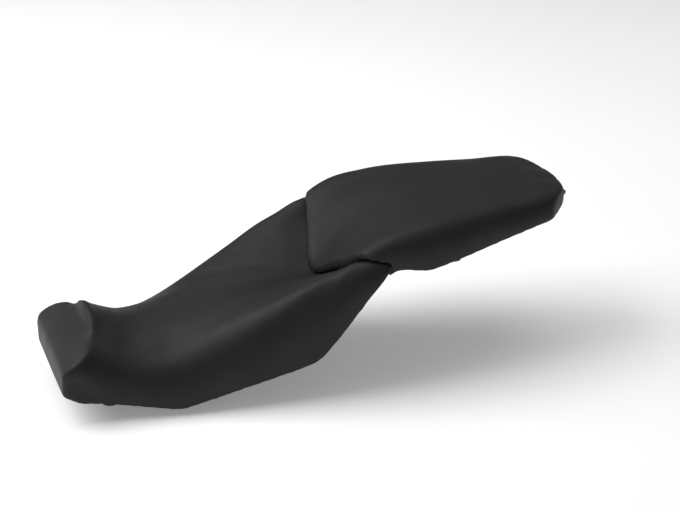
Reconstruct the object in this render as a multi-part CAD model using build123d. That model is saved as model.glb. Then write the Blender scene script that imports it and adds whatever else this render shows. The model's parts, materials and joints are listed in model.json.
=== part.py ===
from build123d import *
import math
import os

# A two-piece motorcycle seat: a rider seat that is bolted down, and a pillion seat that lifts off it.
# +X points to the rear of the motorcycle, +Y to its right, +Z up, in millimetres.
# The shapes are drawn with X = 0 at the rider seat's front edge and Z = 0 at its lower front corner.
# They are written with the origin midway between the two holes of the rider seat's rear bracket.

# ---------------------------------------------------------------- driving dimensions
COVER = 2.0              # vinyl cover
PAN = 3.0                # wall of the moulded pans
HEM = 16.0               # width of the cover's hem, turned under the pan
RIM = 12.0               # height of the pan's upstanding rim
RIB_DEPTH = 8.0
RIB_WALL = 3.0
SEAT_GAP = 1.0           # between the pillion seat's nose and the rider seat under it
STEEL = 3.0              # sheet steel of the tongues, the bracket and the striker plate
HALF_SPAN = 200.0        # half the width of every cutting prism
SKY = 300.0              # height that every cutting prism reaches
FLOOR = -120.0           # height that every loft reaches down to

# Each station is a cross section: place along X, half width, height at the middle, place of the
# shoulder's crest as a share of the half width, height of that crest, and height of the side's foot.
RIDER_STATIONS = [
    (-12, 84, 88, 0.60, 62, 2),
    (55, 97, 83, 0.60, 56, -18),
    (85, 102, 62, 0.58, 42, -24),
    (110, 107, 53, 0.58, 37, -29),
    (150, 114, 53, 0.62, 41, -35),
    (190, 120, 59, 0.68, 54, -24),
    (240, 127, 68, 0.74, 76, -9),
    (290, 133, 76, 0.80, 99, 2),
    (335, 137, 82, 0.84, 120, 18),
    (371, 139, 88, 0.87, 134, 57),
    (400, 139, 98, 0.89, 142, 95),
    (440, 136, 112, 0.90, 143, 134),
]
PILLION_STATIONS = [
    (355, 122, 84, 0.90, 126, 84),
    (380, 125, 107, 0.90, 142, 105),
    (400, 127, 130, 0.90, 154, 122),
    (425, 130, 157, 0.90, 166, 129),
    (455, 134, 173, 0.88, 173, 126),
    (490, 134, 180, 0.86, 177, 120),
    (550, 124, 184, 0.84, 181, 128),
    (610, 110, 185, 0.84, 182, 137),
    (665, 98, 185, 0.84, 181, 144),
    (705, 90, 183, 0.84, 179, 152),
    (752, 82, 176, 0.84, 172, 166),
]

# Side views (X, Z) of the lower edges and of the rider seat's front edge, with corner radii.
RIDER_KEEL = [(-20, 9), (22, -12), (150, -36), (333, 12), (450, 152.4)]
RIDER_KEEL_RADII = [40, 20, 60]
RIDER_FRONT = [(0, -90), (0, 36), (50, 64.5), (58, 140)]
RIDER_FRONT_RADII = [12, 10]
RIDER_REAR = 431.0
PILLION_KEEL = [(340, 58.0), (445, 126.5), (485, 118.5), (690, 149), (760, 176)]
PILLION_KEEL_RADII = [25, 60, 80]

# Plan views (X, Y) of the pillion seat's two ends, one side, from the middle outwards.
PILLION_NOSE = [(360, 0), (399, 123)]
PILLION_TAIL = [(731, 0), (716, 62), (672, 104)]
NOSE_RADIUS = 90
NOSE_CORNER = 26
TAIL_RADIUS = 110
TAIL_CORNER = 40

# The rider seat's rear end is cut away between its two wings.
NOTCH_X = 391.0
NOTCH_HALF = 100.0
NOTCH_RADIUS = 25.0

# The cover's hem leaves a window under each pan. The rider seat's ends ahead of its rear hem, and the
# pillion seat's starts behind its nose, whose whole underside is covered where it lies on the rider seat.
RIDER_WINDOW_END = 374.0
PILLION_WINDOW_FROM = 444.0
PILLION_RIBS_FROM = 452.0

# Rider seat hardware.
BRACKET_HOLE = (414.0, 40.0, 3.25)        # X, Y, radius
BRACKET_TOP = 60.0
BRACKET_HALF = 60.0
BRACKET_X = (347.0, 430.0)
BRACKET_SCREW = (357.0, 36.0)
TONGUE_HALF = 20.0
TONGUE_PAD = (64.0, 124.0, 26.0)          # X from, X to, half width
TONGUE_TIP = 26.0
TONGUE_SCREWS_X = (82.0, 108.0)
RIDER_RIBS_X = (46.0, 136.0, 184.0, 234.0, 274.0, 322.0)
RIDER_RIB_Y = 38.0
RIDER_FEET = {
    "rider_front_bumpers": (66.0, 60.0),
    "rider_middle_bumpers": (214.0, 84.0),
    "rider_rear_bumpers": (299.0, 92.0),
}

# Pillion seat hardware.
STRIKER_X = 485.0
STRIKER_LEG_Y = 17.0
STRIKER_ROD_R = 4.0
STRIKER_BEND_Z = 99.0
STRIKER_ROD_TOP = 142.0
STRIKER_PAD = (460.0, 510.0, 34.0)        # X from, X to, half width
STRIKER_PAD_Z = (112.0, 131.0)
NUT_ACROSS_FLATS = 13.0
NUT_HEIGHT = 6.5
WASHER = (8.5, 1.6)                       # radius, thickness
THREAD_GAP = 0.05
LATCH_TONGUE_HALF = 23.0
LATCH_TONGUE_PAD = (616.0, 674.0, 28.0)   # X from, X to, half width
LATCH_TONGUE_TIP = 742.0
LATCH_TONGUE_BEND = (718.0, 157.0)        # X and Z where it turns level
LATCH_TONGUE_SCREWS_X = (631.0, 658.0)
PILLION_RIBS_X = (515.0, 560.0, 605.0)
PILLION_RIB_Y = 38.0
PILLION_FEET = {
    "pillion_front_bumpers": (536.0, 90.0),
    "pillion_rear_bumpers": (636.0, 64.0),
}

FOOT_R = 12.0
FOOT_DROP = 12.0
FOOT_STEM_R = 4.0
FOOT_BARB_R = 6.0
SCREW_R = 3.0
SCREW_LENGTH = 12.0
SCREW_HEAD_R = 6.0
SCREW_HEAD = 3.5
SCREW_HOLE_R = 3.25
INSERT_R = 4.2
INSERT_DEPTH = 10.0
BOSS_R = 8.0
BOSS_LENGTH = 14.0
STAPLE_CROWN = 10.0
STAPLE_WIRE = 1.2
STAPLE_LEG = 4.0
STAPLE_INSET = 9.0                        # from the seat's lower edge to the row of staples

ORIGIN = Vector(BRACKET_HOLE[0], 0, BRACKET_TOP - STEEL)


# ---------------------------------------------------------------- shared shapes
def section(station, inset):
    """A closed cross section: a smooth top across the seat and straight sides down to FLOOR."""
    x, half, middle, place, crest, foot = station
    half -= inset
    middle -= inset
    crest -= inset
    rise = crest - middle
    # A dished section rises in a straight slope to its crest, a crowned one falls away in a curve.
    inner, outer = (0.38, 0.80) if rise > 0 else (0.20, 0.62)
    belly = foot + 0.30 * (crest - foot)
    side = [
        (half * 0.97, foot),
        (half, belly),
        (half * (0.45 + 0.55 * place), belly + 0.84 * (crest - belly)),
        (half * place, crest),
        (half * place * 0.78, middle + outer * rise),
        (half * place * 0.42, middle + inner * rise),
    ]
    points = [(x, -y, z) for y, z in side] + [(x, 0, middle)] + [(x, y, z) for y, z in reversed(side)]
    top = Spline(*points)
    skirt = Polyline(points[-1], (x, half * 0.97, FLOOR), (x, -half * 0.97, FLOOR), points[0])
    return Wire(top.edges() + skirt.edges())


def skin(stations, inset):
    """The solid under a seat's upper skin, smaller than the outside by inset."""
    return Solid.make_loft([section(station, inset) for station in stations])


def side_prism(curve, closing):
    """The solid whose side view is enclosed by curve and by straight lines through closing."""
    lid = Polyline(curve @ 1, *closing, curve @ 0)
    return extrude(Plane.XZ * make_face(curve.edges() + lid.edges()), HALF_SPAN, both=True)


def above(keel, radii, lift):
    """Everything above a lower edge that is moved by lift, an (X, Z) vector."""
    curve = FilletPolyline(*[(x + lift[0], z + lift[1]) for x, z in keel], radius=radii)
    return side_prism(curve, [(keel[-1][0] + lift[0], SKY), (keel[0][0] + lift[0], SKY)])


def height_on(keel, x):
    """Height of a lower edge at x, away from its rounded corners."""
    for (x0, z0), (x1, z1) in zip(keel, keel[1:]):
        if x0 <= x <= x1:
            return z0 + (z1 - z0) * (x - x0) / (x1 - x0)
    raise ValueError(x)


def slope_on(keel, x):
    """Slope angle of a lower edge at x, in radians."""
    for (x0, z0), (x1, z1) in zip(keel, keel[1:]):
        if x0 <= x <= x1:
            return math.atan2(z1 - z0, x1 - x0)
    raise ValueError(x)


def block(x0, x1, y0, y1, z0, z1):
    return Pos((x0 + x1) / 2, (y0 + y1) / 2, (z0 + z1) / 2) * Box(x1 - x0, y1 - y0, z1 - z0)


def post(x, y, z0, z1, radius):
    return Pos(x, y, (z0 + z1) / 2) * Cylinder(radius, z1 - z0)


def sheet(points, half):
    """A bent strip of steel: a side view polygon given as (X, Z), half wide to each side."""
    return extrude(Plane.XZ * make_face(Polyline(*points, close=True)), half, both=True)


def group(pieces):
    """Several separate solids that share one node."""
    return Compound(children=list(pieces))


def width_on(stations, x):
    """Half width of a seat at x."""
    for (x0, half0, *_), (x1, half1, *_) in zip(stations, stations[1:]):
        if x0 <= x <= x1:
            return half0 + (half1 - half0) * (x - x0) / (x1 - x0)
    raise ValueError(x)


def rib_grid(places_x, place_y):
    """Upright walls across a seat, and two along it."""
    walls = [block(x, x + RIB_WALL, -HALF_SPAN, HALF_SPAN, FLOOR, SKY) for x in places_x]
    for side in (-1, 1):
        middle = side * place_y
        walls.append(block(0, 3 * SKY, middle - RIB_WALL / 2, middle + RIB_WALL / 2, FLOOR, SKY))
    return walls[0] + walls[1:]


# ---------------------------------------------------------------- small hardware
def under(keel, x, y, drop):
    """A plane on a pan's sloping underside, moved out by drop, with its Z axis pointing away."""
    angle = slope_on(keel, x)
    away = Vector(math.sin(angle), 0, -math.cos(angle))
    place = Vector(x, y, height_on(keel, x)) - away * (COVER * math.cos(angle)) + away * drop
    return Plane(origin=place, x_dir=(math.cos(angle), 0, math.sin(angle)), z_dir=away)


def screw(seat):
    """A socket button screw whose head stands on the plane seat."""
    head = Pos(0, 0, SCREW_HEAD / 2) * Cylinder(SCREW_HEAD_R, SCREW_HEAD)
    head = chamfer(head.edges().sort_by(Axis.Z)[-1], 1.5)
    shank = Pos(0, 0, -SCREW_LENGTH / 2) * Cylinder(SCREW_R, SCREW_LENGTH)
    recess = Pos(0, 0, SCREW_HEAD) * extrude(RegularPolygon(2.3, 6), -2.2)
    return seat * (head + shank - recess)


def insert_space(seat):
    """The blind hole that a threaded insert fills, sunk below the plane seat."""
    return seat * Pos(0, 0, -INSERT_DEPTH / 2) * Cylinder(INSERT_R, INSERT_DEPTH)


def insert(seat):
    bore = seat * Pos(0, 0, -INSERT_DEPTH / 2) * Cylinder(SCREW_R + THREAD_GAP, INSERT_DEPTH + 1)
    return insert_space(seat) - bore


def screw_hole(seat):
    return seat * Cylinder(SCREW_HOLE_R, 6 * STEEL)


class Foot:
    """A rubber foot: a round pad under a pan, with a barbed stem pushed up through it."""

    def __init__(self, keel, below_pan, x, y):
        level = height_on(keel, x) + COVER
        self.stem = post(x, y, level - FOOT_DROP / 2, level + PAN + 5, FOOT_STEM_R)
        self.pad = post(x, y, level - COVER - FOOT_DROP, level + 3 * FOOT_DROP, FOOT_R) - below_pan
        self.barb = post(x, y, level + PAN + 2, level + PAN + 5, FOOT_BARB_R)
        self.pocket = post(x, y, level, level + PAN + 7, FOOT_BARB_R + 1)

    def solid(self):
        return self.pad + self.stem + self.barb


def staple(seat):
    """A staple whose crown lies on the plane seat and whose legs go into it."""
    crown = Pos(0, 0, STAPLE_WIRE / 2) * Box(STAPLE_CROWN, STAPLE_WIRE, STAPLE_WIRE)
    reach = (STAPLE_CROWN - STAPLE_WIRE) / 2
    legs = [Pos(x, 0, -STAPLE_LEG / 2) * Box(STAPLE_WIRE, STAPLE_WIRE, STAPLE_LEG) for x in (-reach, reach)]
    return seat * (crown + legs)


def hem_plane(keel, x, y, turned):
    """A plane on the hem's underside. turned is True for a crown that lies across the seat."""
    plane = under(keel, x, y, COVER * math.cos(slope_on(keel, x)))
    if turned:
        return Plane(origin=plane.origin, x_dir=(0, 1, 0), z_dir=plane.z_dir)
    return plane


# ---------------------------------------------------------------- rider seat
def rider_bottom(height):
    """Everything above the lower edge raised by height. Moved this way, slopes keep their thickness."""
    return above(RIDER_KEEL, RIDER_KEEL_RADII, (-0.42 * height, height))


def rider_solid(inset, height):
    """The rider seat inset from its outside, above the lower edge raised by height."""
    front = [(x + 1.2 * inset, z - 0.35 * inset) for x, z in RIDER_FRONT]
    curve = FilletPolyline(*front, radius=RIDER_FRONT_RADII)
    rear = RIDER_REAR - inset
    behind_front = side_prism(curve, [(rear, SKY), (rear, front[0][1])])
    notch = block(NOTCH_X - inset, 2 * NOTCH_X, -NOTCH_HALF - inset, NOTCH_HALF + inset, FLOOR, SKY)
    notch = fillet(notch.edges().filter_by(Axis.Z).group_by(Axis.X)[0], NOTCH_RADIUS + inset)
    return (skin(RIDER_STATIONS, inset) & behind_front & rider_bottom(height)) - notch


def rider_staples():
    planes = []
    for side in (-1, 1):
        for x in range(48, 150, 30):
            edge = width_on(RIDER_STATIONS, x) * 0.97 - STAPLE_INSET
            planes.append(hem_plane(RIDER_KEEL, x, side * edge, False))
        for x in range(176, 310, 32):
            edge = width_on(RIDER_STATIONS, x) * 0.97 - STAPLE_INSET
            planes.append(hem_plane(RIDER_KEEL, x, side * edge, False))
    for y in range(-75, 76, 25):
        planes.append(hem_plane(RIDER_KEEL, (RIDER_WINDOW_END + NOTCH_X) / 2, y, True))
    return [staple(plane) for plane in planes]


def make_rider_seat():
    """All nodes of the rider seat."""
    outer = rider_solid(0, 0)
    inner = rider_solid(COVER, COVER)
    below_pan = rider_bottom(COVER)
    reach = block(HEM + COVER, RIDER_WINDOW_END, -HALF_SPAN, HALF_SPAN, FLOOR, SKY)
    column = skin(RIDER_STATIONS, HEM + COVER) & reach
    window = (column & rider_bottom(-COVER)) - below_pan

    tongue_seats = [under(RIDER_KEEL, x, 0, RIB_DEPTH) for x in TONGUE_SCREWS_X]
    bracket_seats = [under(RIDER_KEEL, BRACKET_SCREW[0], side * BRACKET_SCREW[1], 0) for side in (-1, 1)]
    feet = {
        name: [Foot(RIDER_KEEL, below_pan, x, side * y) for side in (-1, 1)]
        for name, (x, y) in RIDER_FEET.items()
    }
    all_feet = [foot for pair in feet.values() for foot in pair]
    staples = rider_staples()

    rib_space = column & rider_bottom(COVER - RIB_DEPTH)
    x0, x1, half = TONGUE_PAD
    ribs = (rib_space & rib_grid(RIDER_RIBS_X, RIDER_RIB_Y)) - below_pan
    ribs -= block(RIDER_RIBS_X[-1] + RIB_WALL, 3 * SKY, -HALF_SPAN, HALF_SPAN, FLOOR, SKY)
    pad = (rib_space & block(x0, x1, -half, half, FLOOR, SKY)) - below_pan
    bosses = [seat * Pos(0, 0, -BOSS_LENGTH / 2) * Cylinder(BOSS_R, BOSS_LENGTH) for seat in bracket_seats]
    plate = inner - rider_bottom(COVER + PAN)
    rim = (inner - rider_solid(COVER + PAN, COVER)) - rider_bottom(COVER + RIM)
    pan = plate + [rim, ribs, pad, *bosses]
    foam = inner - pan - [foot.pocket for foot in all_feet]
    pan -= [insert_space(seat) for seat in tongue_seats + bracket_seats]
    pan -= [foot.stem for foot in all_feet] + staples
    cover = outer - inner - window - staples

    return {
        "rider_cover": cover,
        "rider_foam": foam,
        "rider_base_pan": pan,
        "rider_front_tongue": make_rider_tongue(tongue_seats),
        "rider_rear_bracket": make_rider_bracket(bracket_seats),
        "rider_tongue_screws": group(screw(seat.offset(STEEL)) for seat in tongue_seats),
        "rider_bracket_screws": group(screw(seat.offset(STEEL)) for seat in bracket_seats),
        "rider_threaded_inserts": group(insert(seat) for seat in tongue_seats + bracket_seats),
        "rider_cover_staples": group(staples),
        **{name: group(foot.solid() for foot in pair) for name, pair in feet.items()},
    }


def make_rider_tongue(seats):
    """The tongue that slides under a cross member of the motorcycle, below the seat's front."""
    x0, x1, _ = TONGUE_PAD
    start = under(RIDER_KEEL, x0, 0, RIB_DEPTH).origin
    end = under(RIDER_KEEL, x1, 0, RIB_DEPTH).origin
    points = [
        (end.X, end.Z),
        (start.X, start.Z),
        (start.X - 10, start.Z - 7),
        (TONGUE_TIP, start.Z - 5),
        (TONGUE_TIP, start.Z - 5 - STEEL),
        (start.X - 9, start.Z - 7 - STEEL),
        (start.X + 1, start.Z - STEEL - 0.2),
        (end.X, end.Z - STEEL),
    ]
    strap = sheet(points, TONGUE_HALF) - [screw_hole(seat) for seat in seats]
    tip = strap.edges().filter_by(Axis.Z).group_by(Axis.X)[0]
    return fillet(tip, 8)


def make_rider_bracket(seats):
    """The bracket whose level flange carries the two holes for the seat's fixing bolts."""
    x0, x1 = BRACKET_X
    angle = slope_on(RIDER_KEEL, x0)
    low = under(RIDER_KEEL, x0, 0, 0).origin
    low_out = under(RIDER_KEEL, x0, 0, STEEL).origin
    top_x = low.X + (BRACKET_TOP - low.Z) / math.tan(angle)
    bend_x = low_out.X + (BRACKET_TOP - STEEL - low_out.Z) / math.tan(angle)
    points = [
        (low.X, low.Z),
        (top_x, BRACKET_TOP),
        (x1, BRACKET_TOP),
        (x1, BRACKET_TOP - STEEL),
        (bend_x, BRACKET_TOP - STEEL),
        (low_out.X, low_out.Z),
    ]
    plate = sheet(points, BRACKET_HALF)
    plate = fillet(plate.edges().filter_by(Axis.Z).group_by(Axis.X)[-1], 12)
    x, y, radius = BRACKET_HOLE
    holes = [post(x, side * y, BRACKET_TOP - 2 * STEEL, BRACKET_TOP + STEEL, radius) for side in (-1, 1)]
    lightening = post(x - 12, 0, BRACKET_TOP - 2 * STEEL, BRACKET_TOP + STEEL, 12)
    return plate - holes - lightening - [screw_hole(seat) for seat in seats]


# ---------------------------------------------------------------- pillion seat
def pillion_plan(inset):
    """The pillion seat's outline seen from above, as a prism: its nose and tail, with free sides."""
    nose_tip, nose_corner = PILLION_NOSE
    tail_tip, tail_corner, tail_side = PILLION_TAIL
    free_front, free_rear = (475, 165), (610, 165)
    half = [nose_tip, nose_corner, free_front, free_rear, tail_side, tail_corner, tail_tip]
    mirrored = [(x, -y) for x, y in half[-2:0:-1]]
    face = make_face(Polyline(*half, *mirrored, close=True))
    for corner, radius in ((nose_corner, NOSE_CORNER), (tail_corner, TAIL_CORNER)):
        face = fillet(corners_at(face, corner), radius)
    face = fillet(corners_at(face, nose_tip), NOSE_RADIUS)
    face = fillet(corners_at(face, tail_tip), TAIL_RADIUS)
    if inset:
        face = offset(face, amount=-inset)
    return extrude(Pos(0, 0, FLOOR) * face, SKY - FLOOR)


def corners_at(face, corner):
    """The corners of a plan face at a point and at its mirror image."""
    x, y = corner
    return [v for v in face.vertices() if math.isclose(v.X, x) and math.isclose(abs(v.Y), y, abs_tol=1e-6)]


class Pillion:
    """The pillion seat's solids. Its nose rests on the rider seat with a small gap."""

    def __init__(self):
        ahead = block(-SKY, RIDER_REAR + SEAT_GAP, -HALF_SPAN, HALF_SPAN, FLOOR, SKY)
        self.rider_space = (Pos(0, 0, SEAT_GAP) * skin(RIDER_STATIONS, 0)) & ahead

    def bottom(self, height):
        """Everything above the seat's underside raised by height."""
        clear = above(PILLION_KEEL, PILLION_KEEL_RADII, (0, height))
        return clear - Pos(0, 0, height) * self.rider_space

    def solid(self, inset, height):
        return skin(PILLION_STATIONS, inset) & pillion_plan(inset) & self.bottom(height)


def pillion_staples():
    planes = []
    for side in (-1, 1):
        for x in range(505, 670, 30):
            edge = width_on(PILLION_STATIONS, x) * 0.97 - STAPLE_INSET
            planes.append(hem_plane(PILLION_KEEL, x, side * edge, False))
    return [staple(plane) for plane in planes]


def striker_holes(radius):
    z0, z1 = STRIKER_BEND_Z, STRIKER_ROD_TOP + 10
    return [post(STRIKER_X, side * STRIKER_LEG_Y, z0, z1, radius) for side in (-1, 1)]


def make_pillion_seat():
    """All nodes of the pillion seat."""
    shape = Pillion()
    outer = shape.solid(0, 0)
    inner = shape.solid(COVER, COVER)
    below_pan = shape.bottom(COVER)
    reach = block(PILLION_WINDOW_FROM, 3 * SKY, -HALF_SPAN, HALF_SPAN, FLOOR, SKY)
    column = skin(PILLION_STATIONS, HEM + COVER) & pillion_plan(HEM + COVER) & reach
    window = (column & shape.bottom(-COVER)) - below_pan

    tongue_seats = [under(PILLION_KEEL, x, 0, RIB_DEPTH) for x in LATCH_TONGUE_SCREWS_X]
    feet = {
        name: [Foot(PILLION_KEEL, below_pan, x, side * y) for side in (-1, 1)]
        for name, (x, y) in PILLION_FEET.items()
    }
    all_feet = [foot for pair in feet.values() for foot in pair]
    staples = pillion_staples()

    behind = block(PILLION_RIBS_FROM, 3 * SKY, -HALF_SPAN, HALF_SPAN, FLOOR, SKY)
    rib_space = column & shape.bottom(COVER - RIB_DEPTH) & behind
    x0, x1, half = LATCH_TONGUE_PAD
    ribs = (rib_space & rib_grid(PILLION_RIBS_X, PILLION_RIB_Y)) - below_pan
    pad = (rib_space & block(x0, x1, -half, half, FLOOR, SKY)) - below_pan
    x0, x1, half = STRIKER_PAD
    striker_pad = block(x0, x1, -half, half, *STRIKER_PAD_Z)
    nut_pocket = block(x0 + 12, x1 - 12, -half + 6, half - 6, STRIKER_PAD_Z[1], STRIKER_ROD_TOP + 2)
    plate = inner - shape.bottom(COVER + PAN)
    rim = (inner - shape.solid(COVER + PAN, COVER)) - shape.bottom(COVER + RIM)
    pan = plate + [rim, ribs, pad, striker_pad]
    foam = inner - pan - nut_pocket - [foot.pocket for foot in all_feet]
    pan -= [insert_space(seat) for seat in tongue_seats]
    pan -= striker_holes(STRIKER_ROD_R + 0.3) + [foot.stem for foot in all_feet] + staples
    cover = outer - inner - window - striker_pad - staples

    return {
        "pillion_cover": cover,
        "pillion_foam": foam,
        "pillion_base_pan": pan,
        "pillion_rear_tongue": make_pillion_tongue(tongue_seats),
        "pillion_tongue_screws": group(screw(seat.offset(STEEL)) for seat in tongue_seats),
        "pillion_threaded_inserts": group(insert(seat) for seat in tongue_seats),
        "pillion_cover_staples": group(staples),
        **make_striker(),
        **{name: group(foot.solid() for foot in pair) for name, pair in feet.items()},
    }


def make_pillion_tongue(seats):
    """The tongue that enters a slot in the motorcycle's tail, behind the pillion seat."""
    x0, x1, _ = LATCH_TONGUE_PAD
    start, end = [under(PILLION_KEEL, x, 0, RIB_DEPTH).origin for x in (x0, x1)]
    low_start, low_end = [under(PILLION_KEEL, x, 0, RIB_DEPTH + STEEL).origin for x in (x0, x1)]
    bend_x, bend_z = LATCH_TONGUE_BEND
    points = [
        (start.X, start.Z),
        (end.X, end.Z),
        (bend_x, bend_z),
        (LATCH_TONGUE_TIP, bend_z),
        (LATCH_TONGUE_TIP, bend_z - STEEL),
        (bend_x + 0.6, bend_z - STEEL),
        (low_end.X, low_end.Z),
        (low_start.X, low_start.Z),
    ]
    strap = sheet(points, LATCH_TONGUE_HALF) - [screw_hole(seat) for seat in seats]
    tip = strap.edges().filter_by(Axis.Z).group_by(Axis.X)[-1]
    return fillet(tip, 8)


def make_striker():
    """The loop that the motorcycle's seat lock catches, its plate, and what holds it to the pan."""
    x0, x1, half = STRIKER_PAD
    pad_low, pad_high = STRIKER_PAD_Z
    across = Plane(origin=(STRIKER_X, 0, STRIKER_BEND_Z), x_dir=(0, 1, 0), z_dir=(1, 0, 0))
    leg = STRIKER_ROD_TOP - STRIKER_BEND_Z
    down = Line((-STRIKER_LEG_Y, leg), (-STRIKER_LEG_Y, 0))
    bend = ThreePointArc((-STRIKER_LEG_Y, 0), (0, -STRIKER_LEG_Y), (STRIKER_LEG_Y, 0))
    up = Line((STRIKER_LEG_Y, 0), (STRIKER_LEG_Y, leg))
    path = across * Wire([down.edge(), bend.edge(), up.edge()])
    start = Plane(origin=path @ 0, z_dir=path % 0)
    loop = sweep(start * Circle(STRIKER_ROD_R), path=path)
    plate = block(x0 + 3, x1 - 3, -half + 2, half - 2, pad_low - STEEL, pad_low)
    plate = fillet(plate.edges().filter_by(Axis.Z), 8) - striker_holes(STRIKER_ROD_R)
    washer_r, washer_thick = WASHER
    washers, nuts = [], []
    for side in (-1, 1):
        y = side * STRIKER_LEG_Y
        washer = post(STRIKER_X, y, pad_high, pad_high + washer_thick, washer_r)
        washers.append(washer - striker_holes(STRIKER_ROD_R + 0.3))
        hexagon = RegularPolygon(NUT_ACROSS_FLATS / 2, 6, major_radius=False)
        nut = Pos(STRIKER_X, y, pad_high + washer_thick) * extrude(hexagon, NUT_HEIGHT)
        nuts.append(nut - striker_holes(STRIKER_ROD_R + THREAD_GAP))
    return {
        "pillion_striker": loop,
        "pillion_striker_plate": plate,
        "pillion_striker_washers": group(washers),
        "pillion_striker_nuts": group(nuts),
    }


if __name__ == "__main__":
    os.makedirs("parts", exist_ok=True)
    for name, shape in {**make_rider_seat(), **make_pillion_seat()}.items():
        export_step(Pos(*(-ORIGIN)) * shape, f"parts/{name}.step")
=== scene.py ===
"""Looks of a two-piece motorcycle seat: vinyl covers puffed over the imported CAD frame, and materials.

Metres, +X to the rear of the motorcycle, +Y to its right, +Z up, origin at the rider seat's rear bracket.
"""
import json
import math

import bmesh
import bpy
import numpy as np
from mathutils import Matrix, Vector
from mathutils.bvhtree import BVHTree


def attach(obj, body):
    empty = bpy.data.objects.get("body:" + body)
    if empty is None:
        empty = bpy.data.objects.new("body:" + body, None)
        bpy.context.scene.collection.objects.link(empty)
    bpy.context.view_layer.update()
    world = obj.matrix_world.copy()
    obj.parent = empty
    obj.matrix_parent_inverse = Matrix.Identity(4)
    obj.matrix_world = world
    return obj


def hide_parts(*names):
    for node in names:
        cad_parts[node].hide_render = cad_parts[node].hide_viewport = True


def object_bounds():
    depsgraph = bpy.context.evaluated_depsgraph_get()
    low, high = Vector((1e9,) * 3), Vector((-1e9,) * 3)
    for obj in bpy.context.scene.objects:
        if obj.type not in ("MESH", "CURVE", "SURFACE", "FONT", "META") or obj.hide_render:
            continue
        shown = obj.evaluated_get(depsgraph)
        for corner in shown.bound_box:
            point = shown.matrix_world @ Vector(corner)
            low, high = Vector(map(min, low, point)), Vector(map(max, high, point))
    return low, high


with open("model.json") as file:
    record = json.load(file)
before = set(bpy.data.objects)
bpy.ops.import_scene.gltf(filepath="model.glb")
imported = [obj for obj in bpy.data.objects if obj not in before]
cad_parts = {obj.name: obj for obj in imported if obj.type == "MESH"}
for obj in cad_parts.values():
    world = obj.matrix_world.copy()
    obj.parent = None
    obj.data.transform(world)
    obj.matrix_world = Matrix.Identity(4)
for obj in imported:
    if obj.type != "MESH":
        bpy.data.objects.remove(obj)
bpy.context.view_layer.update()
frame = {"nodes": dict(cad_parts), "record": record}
nodes_by_name = frame["nodes"]

# ---------------------------------------------------------------- sizes, in metres
VOXEL = 0.003                # grid of the remeshed covers
SMOOTHING = 6                # rounds of smoothing that take out the grid's steps
COVER_THICKNESS = 0.0015

# Swelling: the covers start this much inside, and cloth pressure moves no point further than the cap.
START_SMALLER = 0.0015
PUFF_CAP = 0.0045
PRESSURE = 4.0
CLOTH_MASS = 0.0003          # of one point, in kilograms
CLOTH_FRAMES = 20
PUFF_SMOOTHING = 30          # rounds of smoothing over the swelling, so that it leaves no wrinkles
REST_NEAR = 0.004            # where a cover rests on the other seat it keeps its shape ...
REST_FAR = 0.022             # ... and beyond this distance it swells freely
UNDERSIDE = (-0.75, -0.15)   # Z of a normal: below the first nothing swells, above the second all does

# The windows in the covers' undersides: X ranges, and how far from the CAD cover a point lies in one.
RIDER_WINDOW_X = (-1.0, -0.038)
PILLION_WINDOW_X = (0.028, 1.0)
HEM_REACH = 0.0016
HEM_SMOOTHING = 12           # rounds of smoothing along the hem's edge

# The pillion seat's nose in plan, and the dent that it presses into the foam under it.
NOSE_TIP_X = -0.050
NOSE_RAKE = 0.30             # how far the nose's edge runs back for each metre across
NOSE_BAND = 0.009            # height of the nose's front face
NOSE_TOUCH = 0.003           # the underside this near the rider seat follows the whole dent
DENT = 0.0055
DENT_AHEAD = (-0.004, 0.045)     # the dent fades out over these distances ahead of the nose
DENT_ACROSS = (0.085, 0.125)     # ... over these distances from the middle
DENT_BEHIND = (0.0, 0.03)        # ... and over this X range
DENT_SMOOTHING = 4           # rounds of smoothing over the dent's edges
FACING_UP = (0.1, 0.5)       # Z of a normal: below the first no dent, above the second all of it

# The tail's shoulders, filled out by TAIL_FILL over these ranges of X and of distance from the middle.
TAIL_X = (0.215, 0.285)
TAIL_ACROSS = (0.015, 0.06)
TAIL_FILL = 0.003
TAIL_REACH = 0.4             # share of TAIL_FILL by which they also move to the rear
TAIL_UPWARD = (0.05, 0.7)    # Z of a normal: below the first nothing rises, above the second all does
TAIL_BACKWARD = (0.9, 1.0)   # X of a normal: the nearer to the second, the less moves to the rear

CAMERA_PLACE = Vector((-0.6967, -1.8966, 0.9424))
CAMERA_TURN = math.radians(20)     # of its aim, from +Y towards +X
CAMERA_DOWN = math.radians(24)     # of its aim, below the level
LENS_MM = 85.0
SENSOR_MM = 36.0

# Each softbox: place, size across and along, and watts. Both point at the frame's origin.
SOFTBOXES = {
    "front_softbox": ((-2.0, 0.7, 2.2), (2.4, 2.4), 84),
    "top_softbox": ((0.3, 0.6, 2.8), (3.0, 2.4), 30),
}
ROOM_LIGHT = 0.22
FLOOR_HALF = 12.0
FLOOR_GAP = 0.001            # between the floor and the seat's lowest point

VINYL_GRAIN = 1.1e-3         # size of one cell of the covers' grain


# ---------------------------------------------------------------- mesh helpers
def new_object(name, mesh):
    obj = bpy.data.objects.new(name, mesh)
    bpy.context.scene.collection.objects.link(obj)
    return obj


def joined_copy(name, cad_names):
    """One new object that holds copies of several CAD nodes' meshes."""
    bm = bmesh.new()
    for cad_name in cad_names:
        bm.from_mesh(nodes_by_name[cad_name].data)
    bmesh.ops.remove_doubles(bm, verts=bm.verts, dist=1e-6)
    mesh = bpy.data.meshes.new(name)
    bm.to_mesh(mesh)
    bm.free()
    return new_object(name, mesh)


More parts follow.
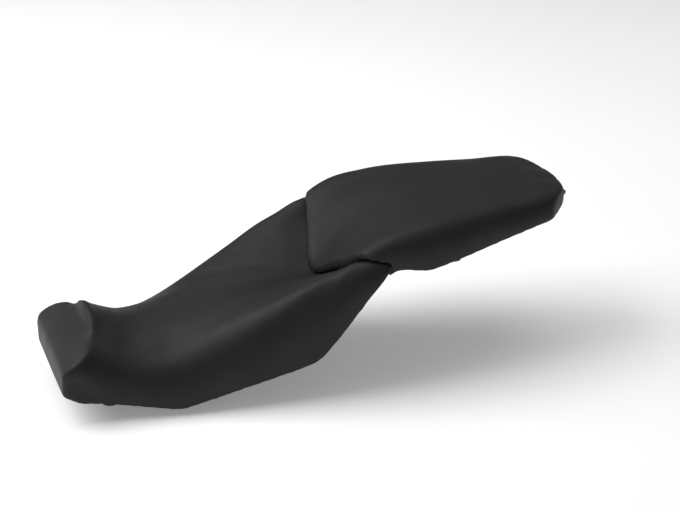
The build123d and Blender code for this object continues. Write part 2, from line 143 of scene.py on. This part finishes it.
def apply_modifiers(obj):
    """Replaces the object's mesh by its evaluated one."""
    depsgraph = bpy.context.evaluated_depsgraph_get()
    mesh = bpy.data.meshes.new_from_object(obj.evaluated_get(depsgraph), depsgraph=depsgraph)
    obj.modifiers.clear()
    old = obj.data
    obj.data = mesh
    bpy.data.meshes.remove(old)


def add_modifier(obj, kind, **settings):
    modifier = obj.modifiers.new(kind.lower(), kind)
    for key, value in settings.items():
        setattr(modifier, key, value)
    return modifier


def points_of(mesh):
    points = np.empty(len(mesh.vertices) * 3)
    mesh.vertices.foreach_get("co", points)
    return points.reshape(-1, 3)


def normals_of(mesh):
    normals = np.empty(len(mesh.vertices) * 3)
    mesh.vertex_normals.foreach_get("vector", normals)
    return normals.reshape(-1, 3)


def set_points(mesh, points):
    mesh.vertices.foreach_set("co", points.reshape(-1))
    mesh.update()


def edges_of(mesh):
    edges = np.empty(len(mesh.edges) * 2, np.int64)
    mesh.edges.foreach_get("vertices", edges)
    return edges.reshape(-1, 2)


def cad_tree(*cad_names):
    """A search tree over the surfaces of CAD nodes."""
    bm = bmesh.new()
    for cad_name in cad_names:
        bm.from_mesh(nodes_by_name[cad_name].data)
    tree = BVHTree.FromBMesh(bm)
    bm.free()
    return tree


def distances(points, tree, most=0.1):
    found = [tree.find_nearest(Vector(p), most)[3] for p in points]
    return np.array([most if d is None else d for d in found])


def smooth_step(values, low, high):
    t = np.clip((values - low) / (high - low), 0, 1)
    return t * t * (3 - 2 * t)


def averaged(values, edges, rounds, share=0.5):
    """Rows of values moved towards the mean of their neighbours' rows, round after round."""
    first, second = edges.T
    count = np.maximum(np.bincount(edges.reshape(-1), minlength=len(values)), 1)
    for _ in range(rounds):
        sums = [
            np.bincount(first, column[second], len(values)) + np.bincount(second, column[first], len(values))
            for column in values.T
        ]
        values = values + share * (np.stack(sums, axis=1) / count[:, None] - values)
    return values


# ---------------------------------------------------------------- covers
def swell(obj, free):
    """Puffs a closed mesh with cloth pressure. free is each point's share of the movement.

    Only the outward movement is kept, and smoothed, because the cloth also shrinks and wrinkles.
    """
    rest = points_of(obj.data)
    normals = normals_of(obj.data)
    start = rest - normals * (START_SMALLER * free)[:, None]
    set_points(obj.data, start)
    pinned = obj.vertex_groups.new(name="pinned")
    for index, share in enumerate(free):
        if share < 1:
            pinned.add([index], 1 - share, "REPLACE")
    cloth = obj.modifiers.new("cloth", "CLOTH")
    cloth.settings.mass = CLOTH_MASS
    cloth.settings.use_pressure = True
    cloth.settings.uniform_pressure_force = PRESSURE
    cloth.settings.vertex_group_mass = "pinned"
    cloth.settings.effector_weights.gravity = 0
    cloth.point_cache.frame_end = CLOTH_FRAMES
    for step in range(1, CLOTH_FRAMES + 1):
        bpy.context.scene.frame_set(step)
    apply_modifiers(obj)
    bpy.context.scene.frame_set(1)
    moved = points_of(obj.data) - start
    outward = np.sum(moved * normals, axis=1)
    outward = np.clip(outward, 0, PUFF_CAP) * free
    outward = averaged(outward[:, None], edges_of(obj.data), PUFF_SMOOTHING)
    set_points(obj.data, rest + normals * outward)
    obj.vertex_groups.clear()


def dent_at(points):
    """How far the foam is pressed down at points in plan, ahead of and under the pillion seat's nose."""
    across = np.abs(points[:, 1])
    ahead = NOSE_TIP_X + NOSE_RAKE * across - points[:, 0]
    fade = 1 - smooth_step(ahead, *DENT_AHEAD)
    fade *= 1 - smooth_step(across, *DENT_ACROSS)
    return DENT * fade * (1 - smooth_step(points[:, 0], *DENT_BEHIND))


def lowered(mesh, depth):
    """The mesh's points, lowered by depth with its edges softened."""
    points = points_of(mesh)
    points[:, 2] -= averaged(depth[:, None], edges_of(mesh), DENT_SMOOTHING)[:, 0]
    return points


def press_rider(mesh):
    """The rider seat's top gives way under the nose."""
    return lowered(mesh, dent_at(points_of(mesh)) * smooth_step(normals_of(mesh)[:, 2], *FACING_UP))


def fill_tail(points, normals):
    """The tail's top stays full out to its shoulders, where the CAD skin falls away."""
    shoulder = smooth_step(points[:, 0], *TAIL_X) * smooth_step(np.abs(points[:, 1]), *TAIL_ACROSS)
    upward = smooth_step(normals[:, 2], *TAIL_UPWARD)
    beside = 1 - smooth_step(normals[:, 0], *TAIL_BACKWARD)
    points[:, 2] += TAIL_FILL * shoulder * upward
    points[:, 0] += TAIL_REACH * TAIL_FILL * shoulder * beside
    return points


def press_pillion(mesh):
    """Fills out the tail; the nose's underside follows the dent, and its front face grows to meet it."""
    set_points(mesh, fill_tail(points_of(mesh), normals_of(mesh)))
    points = points_of(mesh)
    near = 1 - smooth_step(distances(points, cad_tree("rider_cover")), NOSE_TOUCH, NOSE_BAND)
    return lowered(mesh, dent_at(points) * near)


def window_points(points, cover_tree, pan_tree, x_range):
    """Marks the points of the underside that lie in the CAD cover's window."""
    far = distances(points, cover_tree)
    between = (points[:, 0] > x_range[0]) & (points[:, 0] < x_range[1])
    return between & (far > HEM_REACH) & (distances(points, pan_tree) < far)


def cut_window(obj, in_window):
    """Opens the underside at the marked points, and smooths the hem's edge."""
    bm = bmesh.new()
    bm.from_mesh(obj.data)
    bm.verts.ensure_lookup_table()
    doomed = [bm.verts[i] for i in np.nonzero(in_window)[0]]
    bmesh.ops.delete(bm, geom=doomed, context="VERTS")
    loose = [v for v in bm.verts if not v.link_faces]
    bmesh.ops.delete(bm, geom=loose, context="VERTS")
    edge = [v for v in bm.verts if v.is_boundary]
    for _ in range(HEM_SMOOTHING):
        bmesh.ops.smooth_vert(bm, verts=edge, factor=0.5, use_axis_x=True, use_axis_y=True, use_axis_z=True)
    bm.to_mesh(obj.data)
    bm.free()


def make_cover(name, body, cad_cover, filling, other_seat, window_x, press, material):
    """A vinyl cover: the seat's whole shape, swollen, opened below and given its thickness."""
    obj = joined_copy(name, [cad_cover, *filling])
    add_modifier(obj, "REMESH", mode="VOXEL", voxel_size=VOXEL, adaptivity=0.0)
    apply_modifiers(obj)
    mesh = obj.data
    set_points(mesh, averaged(points_of(mesh), edges_of(mesh), SMOOTHING))
    apart = distances(points_of(mesh), other_seat)
    free = smooth_step(apart, REST_NEAR, REST_FAR)
    # Marked before the dent is pressed, which would otherwise be taken for a window.
    in_window = window_points(points_of(mesh), cad_tree(cad_cover), cad_tree(filling[1]), window_x)
    set_points(mesh, press(mesh))
    free *= smooth_step(normals_of(mesh)[:, 2], *UNDERSIDE)
    swell(obj, free)
    cut_window(obj, in_window)
    add_modifier(obj, "SUBSURF", levels=1, render_levels=1)
    add_modifier(obj, "SOLIDIFY", thickness=COVER_THICKNESS, offset=-1.0, use_even_offset=False)
    apply_modifiers(obj)
    obj.data.shade_smooth()
    obj.data.materials.clear()
    obj.data.materials.append(material)
    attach(obj, body)
    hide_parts(cad_cover, *[n for n in filling if n.endswith("foam")])
    return obj


# ---------------------------------------------------------------- materials
class Look:
    """A procedural material under construction: its shader and the links into it."""

    def __init__(self, name, **constants):
        self.material = bpy.data.materials.new(name)
        self.material.use_nodes = True
        self.tree = self.material.node_tree
        self.shader = self.tree.nodes["Principled BSDF"]
        for socket, value in constants.items():
            self.shader.inputs[socket.replace("_", " ")].default_value = value
        self.place = self.tree.nodes.new("ShaderNodeTexCoord").outputs["Object"]

    def node(self, kind, inputs=None, **settings):
        node = self.tree.nodes.new(kind)
        for key, value in settings.items():
            setattr(node, key, value)
        for key, value in (inputs or {}).items():
            if isinstance(value, bpy.types.NodeSocket):
                self.tree.links.new(value, node.inputs[key])
            else:
                node.inputs[key].default_value = value
        return node

    def noise(self, size, detail=3.0, roughness=0.55, distortion=0.0):
        """Noise whose features are about size metres."""
        return self.node(
            "ShaderNodeTexNoise",
            {"Vector": self.place, "Scale": 1 / size, "Detail": detail, "Roughness": roughness,
             "Distortion": distortion},
        ).outputs["Fac"]

    def cells(self, size, feature="F1", output="Distance", vector=None):
        return self.node(
            "ShaderNodeTexVoronoi", {"Vector": vector or self.place, "Scale": 1 / size}, feature=feature
        ).outputs[output]

    def span(self, value, low, high, from_low=0.3, from_high=0.7):
        """value, mapped from its usual spread to the range low to high."""
        return self.node(
            "ShaderNodeMapRange",
            {"Value": value, "From Min": from_low, "From Max": from_high, "To Min": low, "To Max": high},
        ).outputs["Result"]

    def mix(self, share, first, second):
        node = self.node("ShaderNodeMix", data_type="RGBA")
        for index, value in ((0, share), (6, first), (7, second)):
            if isinstance(value, bpy.types.NodeSocket):
                self.tree.links.new(value, node.inputs[index])
            else:
                node.inputs[index].default_value = value
        return node.outputs[2]

    def maths(self, operation, first, second):
        return self.node("ShaderNodeMath", {0: first, 1: second}, operation=operation).outputs[0]

    def set(self, socket, value):
        self.tree.links.new(value, self.shader.inputs[socket])

    def bump(self, layers):
        """Stacked bumps: (height, depth in metres) from the coarsest to the finest."""
        normal = None
        for height, depth in layers:
            inputs = {"Height": height, "Distance": depth, "Strength": 1.0}
            if normal:
                inputs["Normal"] = normal
            normal = self.node("ShaderNodeBump", inputs).outputs["Normal"]
        self.set("Normal", normal)


def grey(value, tint=(1.0, 1.0, 1.0)):
    return (*[value * t for t in tint], 1.0)


def vinyl():
    look = Look("seat_vinyl", IOR=1.45, Specular_IOR_Level=0.30)
    warp = look.node("ShaderNodeVectorMath", {0: look.place}, operation="ADD")
    drift = look.node("ShaderNodeTexNoise", {"Vector": look.place, "Scale": 1 / 0.0016, "Detail": 2.0})
    small = look.node("ShaderNodeVectorMath", {0: drift.outputs["Color"], "Scale": 0.0006}, operation="SCALE")
    look.tree.links.new(small.outputs[0], warp.inputs[1])
    creases = look.cells(VINYL_GRAIN, "DISTANCE_TO_EDGE", vector=warp.outputs[0])
    grain = look.span(creases, 0.0, 1.0, 0.0, 0.22)
    cloud = look.noise(0.09, 4.0)
    look.set("Base Color", look.mix(look.span(cloud, 0, 1), grey(0.010), grey(0.014, (1, 1, 1.03))))
    rough = look.maths("ADD", look.span(look.noise(0.03), 0.46, 0.56), look.span(grain, 0.05, 0.0, 0, 1))
    look.set("Roughness", rough)
    look.bump([(look.noise(0.012, 3.0), 0.00012), (grain, 0.00006), (look.noise(0.00025, 2.0), 0.00001)])
    return look.material


def moulded_plastic():
    look = Look("moulded_plastic", IOR=1.5)
    look.set("Base Color", look.mix(look.span(look.noise(0.05), 0, 1), grey(0.022), grey(0.034)))
    look.set("Roughness", look.span(look.noise(0.008, 4.0), 0.42, 0.6))
    look.bump([(look.noise(0.02), 0.00015), (look.cells(0.0007), 0.00003)])
    return look.material


def foot_rubber():
    look = Look("foot_rubber", IOR=1.45)
    look.set("Base Color", look.mix(look.span(look.noise(0.01), 0, 1), grey(0.014), grey(0.028)))
    look.set("Roughness", look.span(look.noise(0.004), 0.62, 0.8))
    look.bump([(look.noise(0.0006, 4.0), 0.00005)])
    return look.material


def coated_steel():
    look = Look("coated_steel", IOR=1.5)
    scratches = look.noise(0.0015, 6.0, 0.75, 2.5)
    bare = look.span(scratches, 0, 1, 0.69, 0.72)
    look.set("Base Color", look.mix(bare, grey(0.018), grey(0.35)))
    look.set("Metallic", look.span(bare, 0.0, 1.0, 0, 1))
    look.set("Roughness", look.span(look.noise(0.01, 4.0), 0.3, 0.45))
    look.bump([(look.noise(0.0012, 3.0), 0.00002)])
    return look.material


def zinc_steel(name="zinc_steel", size=0.006):
    look = Look(name, Metallic=1.0)
    tint = look.span(look.noise(size, 3.0), 0, 1)
    look.set("Base Color", look.mix(tint, (0.60, 0.62, 0.66, 1), (0.70, 0.69, 0.64, 1)))
    look.set("Roughness", look.span(look.noise(size / 3, 5.0), 0.24, 0.42))
    look.bump([(look.noise(0.0008, 4.0, 0.7), 0.00001)])
    return look.material


def insert_brass():
    look = Look("insert_brass", Metallic=1.0)
    look.set("Base Color", look.mix(look.noise(0.003), (0.62, 0.44, 0.18, 1), (0.74, 0.56, 0.27, 1)))
    look.set("Roughness", look.span(look.noise(0.001), 0.25, 0.4))
    look.bump([(look.cells(0.0008), 0.0001)])
    return look.material


def floor_paint():
    look = Look("floor", Roughness=0.9, Emission_Color=(1, 1, 1, 1), Emission_Strength=0.22)
    look.set("Base Color", look.mix(look.noise(0.4), grey(0.86), grey(0.90)))
    return look.material


LOOKS = {
    "seat_vinyl": vinyl(),
    "moulded_plastic": moulded_plastic(),
    "foot_rubber": foot_rubber(),
    "coated_steel": coated_steel(),
    "zinc_steel": zinc_steel(),
    "staple_steel": zinc_steel("staple_steel", 0.002),
    "insert_brass": insert_brass(),
}


def dress_cad_nodes():
    """Gives each CAD node the look of its own material slot. Foam has none, because covers hide it."""
    slots = {part["node"]: part["material_slot"] for part in frame["record"]["subparts"]}
    for name, obj in nodes_by_name.items():
        look = LOOKS.get(slots[name])
        if look:
            obj.data.materials.clear()
            obj.data.materials.append(look)


# ---------------------------------------------------------------- the object
dress_cad_nodes()
rider_parts = ("rider_foam", "rider_base_pan")
pillion_parts = ("pillion_foam", "pillion_base_pan")
rider = make_cover("rider_seat_cover", "rider_seat", "rider_cover", rider_parts,
                   cad_tree("pillion_cover"), RIDER_WINDOW_X, press_rider, LOOKS["seat_vinyl"])
pillion = make_cover("pillion_seat_cover", "pillion_seat", "pillion_cover", pillion_parts,
                     cad_tree("rider_cover"), PILLION_WINDOW_X, press_pillion, LOOKS["seat_vinyl"])


# ---------------------------------------------------------------- studio
def make_floor():
    mesh = bpy.data.meshes.new("floor")
    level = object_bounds()[0].z - FLOOR_GAP
    corners = [(FLOOR_HALF * x, FLOOR_HALF * y, level) for x, y in ((-1, -1), (1, -1), (1, 1), (-1, 1))]
    mesh.from_pydata(corners, [], [(0, 1, 2, 3)])
    floor = new_object("floor", mesh)
    mesh.materials.append(floor_paint())


def make_softbox(name, place, size, watts):
    light = bpy.data.lights.new(name, "AREA")
    light.shape = "RECTANGLE"
    light.size, light.size_y = size
    light.energy = watts
    obj = new_object(name, light)
    obj.location = place
    obj.rotation_mode = "QUATERNION"
    obj.rotation_quaternion = (-Vector(place)).to_track_quat("-Z", "Y")


def make_studio():
    make_floor()
    for name, settings in SOFTBOXES.items():
        make_softbox(name, *settings)
    world = bpy.data.worlds.new("studio")
    world.use_nodes = True
    background = world.node_tree.nodes["Background"]
    background.inputs["Color"].default_value = (1, 1, 1, 1)
    background.inputs["Strength"].default_value = ROOM_LIGHT
    bpy.context.scene.world = world
    bpy.context.scene.view_settings.view_transform = "Standard"


def make_camera():
    data = bpy.data.cameras.new("camera")
    data.lens = LENS_MM
    data.sensor_width = SENSOR_MM
    data.clip_start, data.clip_end = 0.05, 60
    camera = new_object("camera", data)
    aim = Vector((
        math.sin(CAMERA_TURN) * math.cos(CAMERA_DOWN),
        math.cos(CAMERA_TURN) * math.cos(CAMERA_DOWN),
        -math.sin(CAMERA_DOWN),
    ))
    camera.location = CAMERA_PLACE
    camera.rotation_mode = "QUATERNION"
    camera.rotation_quaternion = aim.to_track_quat("-Z", "Y")
    bpy.context.scene.camera = camera


make_studio()
make_camera()
